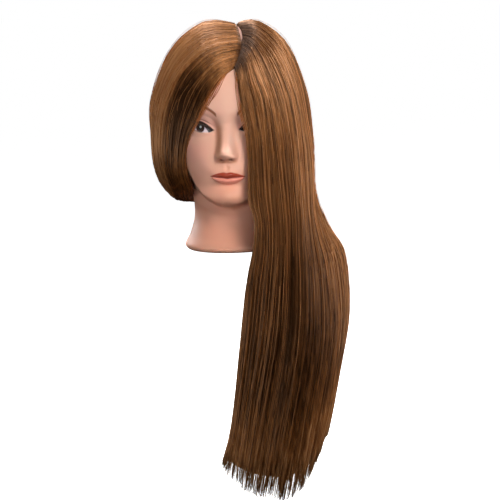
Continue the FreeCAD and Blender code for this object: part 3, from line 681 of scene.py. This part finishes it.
def tubes(name, lines, radii, tint, shade=0.0):
    """Closed thin tubes along many lines at once. lines is strands x points x 3, in mm."""
    sides = TUBE_SIDES
    strands, count = lines.shape[:2]
    tangent = np.gradient(lines, axis=1)
    tangent /= np.maximum(np.linalg.norm(tangent, axis=-1, keepdims=True), 1e-9)
    reference = np.array([0.31, 0.87, 0.38])
    side = np.cross(tangent, reference)
    side /= np.maximum(np.linalg.norm(side, axis=-1, keepdims=True), 1e-9)
    other = np.cross(tangent, side)
    turn = 2 * np.pi * np.arange(sides) / sides
    corners = side[:, :, None, :] * np.cos(turn)[:, None]
    corners = corners + other[:, :, None, :] * np.sin(turn)[:, None]
    points = lines[:, :, None, :] + corners * radii[:, :, None, None]
    base = (np.arange(strands) * count * sides)[:, None, None]
    i = np.arange(count - 1)[None, :, None] * sides
    j = np.arange(sides)[None, None, :]
    k = (j + 1) % sides
    quads = np.stack([base + i + j, base + i + k, base + i + sides + k, base + i + sides + j], -1)
    start = base[:, 0, 0]
    end = start + (count - 1) * sides
    caps = np.concatenate([np.stack([start, start + 2, start + 1], -1),
                           np.stack([end, end + 1, end + 2], -1)])
    obj = make_mesh(name, points.reshape(-1, 3), quads.reshape(-1, 4), caps)
    for label, values in (("tint", tint), ("shade", shade)):
        values = np.asarray(values, float)
        values = values[:, None, None] if values.ndim == 1 else values[..., None]
        add_attribute(obj, label, np.broadcast_to(values, (strands, count, sides)))
    return obj


STRAND_RADIUS = 0.42
STRAND_DEPTH = 3.0
TIP_RAGGEDNESS = 0.03
LOCK_WIDTH = 0.07
LOCK_COUNT = 400


def hair_strands(name, u_low, u_high, count):
    """Strands that follow the hair's outside between two guides, gathered into locks."""
    u = rng.uniform(u_low, u_high, count)
    lock = np.floor(u / LOCK_WIDTH)
    lock_u = (lock + 0.5) * LOCK_WIDTH
    lock_key = lock.astype(int) + 40
    lock_rise = rng.uniform(-0.6, 0.6, LOCK_COUNT)[lock_key]
    lock_tint = rng.uniform(-1, 1, LOCK_COUNT)[lock_key]
    lock_short = rng.uniform(0, 1, LOCK_COUNT)[lock_key]
    gather = rng.uniform(0.0, 0.65, count)
    end = 1 - TIP_RAGGEDNESS * (0.25 * lock_short + 1.1 * rng.random(count) ** 1.8)
    place = np.linspace(0, 1, STRAND_POINTS)[None, :] * end[:, None]
    station = np.interp(place, np.linspace(0, 1, STRAND_POINTS), STATIONS)
    sway = rng.uniform(0, 2 * np.pi, (3, count, 1))
    fan = rng.normal(0, 0.12, (count, 1)) * smoothstep(0.80, 1.0, place)
    wave = 0.020 * np.sin(5 * place + sway[0]) + 0.010 * np.sin(13 * place + sway[1])
    wander = fan + wave * smoothstep(0, 0.25, place)
    pull = gather[:, None] * smoothstep(0.15, 0.7, place) * smoothstep(1.1, 0.8, place)
    u_line = u[:, None] + (lock_u - u)[:, None] * pull + wander
    u_line = np.clip(u_line, 0, GUIDE_COUNT - 1)
    layer = rng.uniform(0, 1, count) ** 1.3
    deep = (STRAND_DEPTH * layer)[:, None] * (0.35 + 0.65 * smoothstep(0, 0.3, place))
    deep = deep - lock_rise[:, None] * smoothstep(0.05, 0.5, place)
    deep = deep + 0.5 * np.sin(9 * place + sway[2])
    lines = hair_point(u_line, station) - hair_normal(u_line, station) * deep[..., None]
    thin = STRAND_RADIUS * rng.uniform(0.7, 1.25, count)[:, None]
    profile = 0.65 + 0.35 * smoothstep(0, 0.1, place)
    profile = profile * (1 - 0.7 * smoothstep(end[:, None] - 0.1, end[:, None], place))
    # each strand's own tone, with the painted light and shade added
    tint = (0.5 + 0.12 * lock_tint + rng.normal(0, 0.20, count))[:, None] + hair_light_and_shade(u_line, station)
    return tubes(name, lines, thin * profile, tint, root_shade(u_line, station))


BED_DEPTH = 2.2
BED_THICKNESS = 3.5
BED_START = 0.004
BED_END = 0.970
BED_ROWS = 90
BED_COLUMNS_PER_GUIDE = 14


def hair_bed(name, u_low, u_high):
    """The closed body of hair under the strands."""
    columns = int((u_high - u_low) * BED_COLUMNS_PER_GUIDE)
    rows = BED_ROWS
    u = np.linspace(u_low, u_high, columns)[None, :] * np.ones((rows, 1))
    place = np.linspace(BED_START, BED_END, rows)[:, None] * np.ones((1, columns))
    station = np.interp(place, np.linspace(0, 1, STRAND_POINTS), STATIONS)
    normal = hair_normal(u, station)
    grow = (0.25 + 0.75 * smoothstep(0, 0.25, place))[..., None]
    thin = np.interp(u, [13.5, 14.8], [1.0, 0.45])[..., None]
    groove = 0.35 * np.sin(u * 74 + 1.7 * np.sin(u * 21))[..., None]
    outer = hair_point(u, station) - normal * (BED_DEPTH * grow + groove) * thin
    inner = hair_point(u, station) - normal * (BED_DEPTH + BED_THICKNESS) * grow * thin
    points = np.concatenate([outer.reshape(-1, 3), inner.reshape(-1, 3)])
    i, j = np.meshgrid(np.arange(rows - 1), np.arange(columns - 1), indexing="ij")
    a = (i * columns + j).ravel()
    b, c, d = a + 1, a + columns + 1, a + columns
    shift = rows * columns
    quads = [np.stack([a, b, c, d], -1), np.stack([a, d, c, b], -1) + shift]
    border = np.concatenate([
        np.arange(columns - 1),
        (np.arange(rows - 1) + 1) * columns - 1,
        rows * columns - 1 - np.arange(columns - 1),
        (rows - 1 - np.arange(rows - 1)) * columns])
    following = np.roll(border, -1)
    quads.append(np.stack([following, border, border + shift, following + shift], -1))
    obj = make_mesh(name, points, np.concatenate(quads))
    # the bed's own tone, with the painted light and shade added
    tint = 0.36 + 0.1 * np.sin(u * 51) * np.cos(u * 17) + hair_light_and_shade(u, station)
    shade = root_shade(u, station)
    add_attribute(obj, "tint", np.concatenate([tint.ravel(), tint.ravel()]))
    add_attribute(obj, "shade", np.concatenate([shade.ravel(), shade.ravel()]))
    return obj


def hair_material(name, dark, middle, light, pale, roughness=0.38):
    """Brown hair: each strand its own tone with painted light and shade added, painted shade by the roots,
    fine streaks, soft sheen.
    """
    n = Nodes(name)
    tint = n.attribute("tint")
    streak = n.noise(260, 3, (1, 1, 0.06))
    tone = n.math("ADD", tint, n.span(streak, 0.3, 0.7, -0.2, 0.2))
    ramp = n.node("ShaderNodeValToRGB")
    stops = ramp.color_ramp.elements
    stops[0].position, stops[1].position = 0.1, 1.0
    stops[0].color, stops[1].color = (*dark, 1), (*pale, 1)
    for position, colour in ((0.45, middle), (0.8, light)):
        stops.new(position).color = (*colour, 1)
    n.link(tone, ramp.inputs[0])
    shade = n.attribute("shade")
    n.link(n.mix(shade, ramp.outputs[0], dark), n.shader.inputs["Base Color"])
    # dark hair and the roots shine least
    sheen = n.math("MULTIPLY", n.span(tone, 0.0, 0.45, 0.3, 1.0), n.span(shade, 0, 1, 1.0, 0.1))
    n.link(sheen, n.shader.inputs["Specular IOR Level"])
    rough = n.span(streak, 0.3, 0.7, roughness - 0.05, roughness + 0.08)
    n.link(n.math("ADD", rough, n.math("MULTIPLY", shade, 0.5)), n.shader.inputs["Roughness"])
    n.set(IOR=1.7)
    n.shader.inputs["Specular Tint"].default_value = (1.0, 0.47, 0.20, 1)
    return n.material


WISP_RADIUS = 0.24


def wisps(name, u_low, u_high, count, side_step, lift, first, last):
    """Loose fine hairs that leave the hair's edge or surface and come back to it.

    side_step is how far they stray towards the face, lift how far they stand off, in mm.
    first and last are the ranges in which they start and end, as parts of a strand's length.
    """
    u = rng.uniform(u_low, u_high, count)
    starts = rng.uniform(*first, count)[:, None]
    ends = np.maximum(rng.uniform(*last, count)[:, None], starts + 0.12)
    place = starts + (ends - starts) * np.linspace(0, 1, STRAND_POINTS)[None, :]
    station = np.interp(place, np.linspace(0, 1, STRAND_POINTS), STATIONS)
    u_line = np.clip(u[:, None] + 0.05 * np.sin(9 * place + u[:, None] * 40), 0, GUIDE_COUNT - 1)
    arc = np.sin(np.pi * np.linspace(0, 1, STRAND_POINTS))[None, :] ** 0.8
    normal = hair_normal(u_line, station)
    points = hair_point(u_line, station)
    along = np.gradient(points, axis=1)
    across = np.cross(along, normal)
    across /= np.maximum(np.linalg.norm(across, axis=-1, keepdims=True), 1e-9)
    stray = (rng.choice([0.35, 0.65, 0.95], count) + rng.normal(0, 0.08, count))[:, None] * arc
    rise = rng.uniform(0.1, 1.0, count)[:, None] * arc
    lines = points + across * (side_step * stray)[..., None] + normal * (lift * rise)[..., None]
    taper = 0.3 + 0.7 * np.sin(np.pi * np.linspace(0.08, 0.97, STRAND_POINTS))[None, :]
    # paler on the ramp than the main hair: painted light through the thin hairs
    tint = 0.75 + rng.normal(0, 0.15, count)
    return tubes(name, lines, WISP_RADIUS * taper * np.ones((count, 1)), tint)


LASH_COUNT = 60
LASH_POINTS = 6
LASH_RADIUS = 0.26


def lashes(name, side):
    """Upper lashes of one eye: short curled tapered hairs rooted along the lid's edge."""
    tree = BVHTree.FromPolygons([vertex.co / MM for vertex in head.data.vertices],
                                [tuple(face.vertices) for face in head.data.polygons])
    t = np.linspace(0.05, 1.1, LASH_COUNT) + rng.uniform(-0.01, 0.01, LASH_COUNT)
    x = side * (EYE_INNER_X + t * EYE_LENGTH)
    z = upper_lid_z(t) + 0.4
    roots = []
    for root_x, root_z in zip(x, z):
        hit = tree.ray_cast(Vector((root_x, -200, root_z)), Vector((0, 1, 0)))[0]
        roots.append((hit.x, hit.y + 0.2, hit.z))
    roots = np.array(roots)
    length = (4.0 + 3.6 * np.clip(t, 0, 1) ** 0.8) * rng.uniform(0.8, 1.1, LASH_COUNT)
    outward = side * (0.1 + 0.55 * t + rng.uniform(-0.08, 0.08, LASH_COUNT))
    forward = np.stack([outward, -np.ones(LASH_COUNT), 0.05 + 0 * t], -1)
    forward /= np.linalg.norm(forward, axis=1, keepdims=True)
    place = np.linspace(0, 1, LASH_POINTS)[None, :, None]
    curl = np.array([0, 0.1, 1.0]) * 0.55
    lines = roots[:, None] + length[:, None, None] * (forward[:, None] * place + curl * place ** 2.2)
    radii = LASH_RADIUS * (1 - 0.8 * np.linspace(0, 1, LASH_POINTS))[None, :] * np.ones((LASH_COUNT, 1))
    return tubes(name, lines, radii, np.full(LASH_COUNT, 0.5))


# Colours of the hair from dark to pale.
HAIR_TONES = [(0.012, 0.0035, 0.0006), (0.050, 0.016, 0.0032), (0.17, 0.062, 0.015), (0.34, 0.16, 0.065)]
# the fine and loose hairs: the same brown shifted lighter and redder, painted light shining through thin hairs
FINE_BACKLIT_TONES = [(0.08, 0.022, 0.005), (0.20, 0.062, 0.016), (0.34, 0.13, 0.04), (0.45, 0.2, 0.08)]
WISP_BACKLIT_TONES = [(0.16, 0.035, 0.008), (0.30, 0.08, 0.02), (0.42, 0.13, 0.04), (0.52, 0.2, 0.08)]
LASH_TONES = [(0.004, 0.003, 0.003), (0.008, 0.006, 0.006), (0.012, 0.009, 0.009), (0.014, 0.01, 0.01)]


# ---------------------------------------------------------------- build the pieces

head = build_head()
head.data.materials.append(skin_material())
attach(head, "head")
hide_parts("head_skin")

hair = hair_material("hair_brown", *HAIR_TONES)


def place_hair(obj, *nodes, material=hair):
    """Hair that crosses the hinge bends between the head and the swinging lengths."""
    obj.data.materials.append(material)
    if nodes:
        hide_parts(*nodes)
    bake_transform(obj)


# Name, the guides between which the strands grow, their number, the CAD nodes they stand for.
STRAND_PIECES = [
    ("strands_front_right", 0.0, 2.0, 900, ("hair_front_right",)),
    ("strands_side_right", 2.0, 5.0, 900, ("hair_side_right", "hair_crown")),
    ("strands_back_right", 5.0, 7.5, 900, ("hair_back_right", "hair_nape_right", "sweep_nape")),
    ("strands_back_left", 7.5, 10.0, 900,
     ("hair_back_left", "hair_nape_left", "sweep_back_left", "lengths_back")),
    ("strands_side_left", 10.0, 12.5, 900, ("hair_side_left", "sweep_side_left", "lengths_side")),
    ("strands_curtain_outer", 12.5, 14.5, 900, ("hair_front_left",)),
    ("strands_curtain_inner", 14.5, 17.0, 900, ("lengths_front",)),
    ("strands_curtain_under", 17.0, 19.0, 600, ()),
]
for piece, u_low, u_high, count, nodes in STRAND_PIECES:
    place_hair(hair_strands(piece, u_low, u_high, count), *nodes)

BED_PIECES = [
    ("hair_bed_right", 0.1, 6.0),
    ("hair_bed_back", 6.0, 11.0),
    ("hair_bed_left", 11.0, 18.95),
]
for piece, u_low, u_high in BED_PIECES:
    place_hair(hair_bed(piece, u_low, u_high))

WISP_PIECES = [
    ("wisps_forehead", 0.0, 0.25, 16, -9.0, 0.8, (0.02, 0.08), (0.26, 0.4)),
    ("wisps_cheek", 0.0, 0.2, 14, -2.5, 0.6, (0.16, 0.24), (0.36, 0.5)),
    ("wisps_curtain_edge", 15.9, 16.4, 40, 5.0, 0.8, (0.02, 0.3), (0.3, 0.6)),
    ("flyaways_right", 0.0, 6.0, 60, 2.0, 2.4, (0.02, 0.3), (0.2, 0.6)),
    ("flyaways_left", 6.0, 16.0, 160, 2.0, 2.6, (0.02, 0.7), (0.2, 0.97)),
]
# painted light: lighter, redder materials for the thin loose hairs
fine_backlit_hair = hair_material("hair_fine_backlit", *FINE_BACKLIT_TONES)
wisp_backlit_hair = hair_material("hair_wisp_backlit", *WISP_BACKLIT_TONES)
for piece, u_low, u_high, count, side_step, lift, first, last in WISP_PIECES:
    colour = fine_backlit_hair if piece.startswith("flyaways") else wisp_backlit_hair
    place_hair(wisps(piece, u_low, u_high, count, side_step, lift, first, last), material=colour)

lash_fibre = hair_material("lash_black", *LASH_TONES, roughness=0.4)
for label, side in (("right", -1), ("left", 1)):
    lash_piece = lashes("lashes_" + label, side)
    lash_piece.data.materials.append(lash_fibre)
    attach(lash_piece, "head")
    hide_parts("lash_strip_" + label)


# ---------------------------------------------------------------- CAD nodes that stay

def plain_material(name, dark, light, roughness):
    """Moulded plastic or foam, with a little mottling."""
    n = Nodes(name)
    n.link(n.mix(n.noise(60, 4), dark, light), n.shader.inputs["Base Color"])
    n.set(Roughness=roughness)
    n.bump(n.noise(1400, 2), 0.15, 0.0002)
    return n.material


NODE_MATERIALS = {
    "foam_core": plain_material("core_foam", (0.62, 0.52, 0.30), (0.72, 0.62, 0.40), 0.9),
    "root_lock_coat": plain_material("root_coat", (0.45, 0.36, 0.22), (0.55, 0.46, 0.30), 0.6),
    "neck_socket": plain_material("socket_plastic", (0.012, 0.012, 0.012), (0.022, 0.021, 0.021), 0.5),
    "base_disc": plain_material("disc_plastic", (0.018, 0.017, 0.017), (0.03, 0.028, 0.028), 0.55),
}
for node, material in NODE_MATERIALS.items():
    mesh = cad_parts[node].data
    mesh.materials.clear()
    mesh.materials.append(material)


# ---------------------------------------------------------------- stage, light, camera

FLOOR_Z = -0.33
FLOOR_HALF = 60.0


def build_floor():
    """A wide pale floor under the hanging hair. It glows a little so that it reads as white."""
    side, height = FLOOR_HALF / MM, FLOOR_Z / MM
    corners = [(-side, -side, height), (side, -side, height), (side, side, height), (-side, side, height)]
    floor = make_mesh("floor", corners, [(0, 1, 2, 3)], smooth=False)
    n = Nodes("floor_white")
    n.link(n.mix(n.noise(2, 2), (0.90, 0.90, 0.90), (0.93, 0.93, 0.93)), n.shader.inputs["Base Color"])
    n.set(Roughness=0.9, Emission_Strength=1.0)
    n.shader.inputs["Emission Color"].default_value = (1, 1, 1, 1)
    floor.data.materials.append(n.material)
    floor.visible_diffuse = False
    floor.visible_glossy = False


build_floor()


def add_light(name, place, target, size, power, colour=(1, 1, 1), spread=180):
    """A square soft light at place, in metres, aimed at target; spread in degrees."""
    light = bpy.data.lights.new(name, "AREA")
    light.spread = math.radians(spread)
    light.size = size
    light.energy = power
    light.color = colour
    obj = bpy.data.objects.new(name, light)
    obj.location = place
    obj.rotation_euler = (Vector(target) - Vector(place)).to_track_quat("-Z", "Y").to_euler()
    bpy.context.scene.collection.objects.link(obj)


WHITE = (1, 1, 1)
WARM = (1.0, 0.96, 0.92)

add_light("key", (1.05, -1.85, 1.0), (0.0, 0.0, 0.12), 1.1, 3.0, WARM, 34)
add_light("fill", (0.1, -2.2, 0.0), (0.0, 0.0, 0.1), 1.0, 0.62, WHITE, 30)
add_light("low_left", (-1.6, -0.7, -0.45), (0.0, 0.0, 0.08), 0.9, 14)
add_light("top", (-0.5, 0.5, 1.55), (0.0, 0.0, 0.15), 0.8, 62)
add_light("right_high", (1.2, 0.1, 1.1), (0.0, 0.0, 0.14), 0.6, 1.15, WARM, 34)
add_light("right_rim", (0.9, 1.1, 1.1), (0.0, 0.0, 0.12), 0.7, 20, WARM)
add_light("left_rim", (-1.25, 1.25, 0.5), (0.0, 0.0, 0.12), 0.7, 17)
add_light("back_right", (1.5, 0.9, 0.0), (0.05, 0.0, 0.0), 0.7, 20, WARM)

world = bpy.data.worlds.new("studio")
world.use_nodes = True
background = world.node_tree.nodes["Background"]
background.inputs[0].default_value = (1, 1, 1, 1)
background.inputs[1].default_value = 1.0
world.cycles_visibility.diffuse = False
world.cycles_visibility.glossy = False
bpy.context.scene.world = world
bpy.context.scene.view_settings.view_transform = "Standard"

CAMERA_AZIMUTH = math.radians(6)
CAMERA_ELEVATION = math.radians(8)
CAMERA_ROLL = math.radians(2.5)
CAMERA_DISTANCE = 2.2
VIEW_WIDTH = 0.6
AIM_RIGHT = 0.0126
AIM_UP = -0.0048


def add_camera():
    """The camera, a little to her left, above and rolled, as the picture shows her."""
    a, e, roll = CAMERA_AZIMUTH, CAMERA_ELEVATION, CAMERA_ROLL
    back = Vector((math.sin(a) * math.cos(e), -math.cos(a) * math.cos(e), math.sin(e)))
    right0 = Vector((math.cos(a), math.sin(a), 0))
    up0 = back.cross(right0)
    right = right0 * math.cos(roll) - up0 * math.sin(roll)
    up = up0 * math.cos(roll) + right0 * math.sin(roll)
    target = right * AIM_RIGHT + up * AIM_UP
    data = bpy.data.cameras.new("camera")
    data.sensor_width = 36
    data.lens = 36 * CAMERA_DISTANCE / VIEW_WIDTH
    data.clip_end = 200
    camera = bpy.data.objects.new("camera", data)
    turn = Matrix((right, up, back)).transposed().to_4x4()
    camera.matrix_world = Matrix.Translation(target + back * CAMERA_DISTANCE) @ turn
    bpy.context.scene.collection.objects.link(camera)
    bpy.context.scene.camera = camera


add_camera()
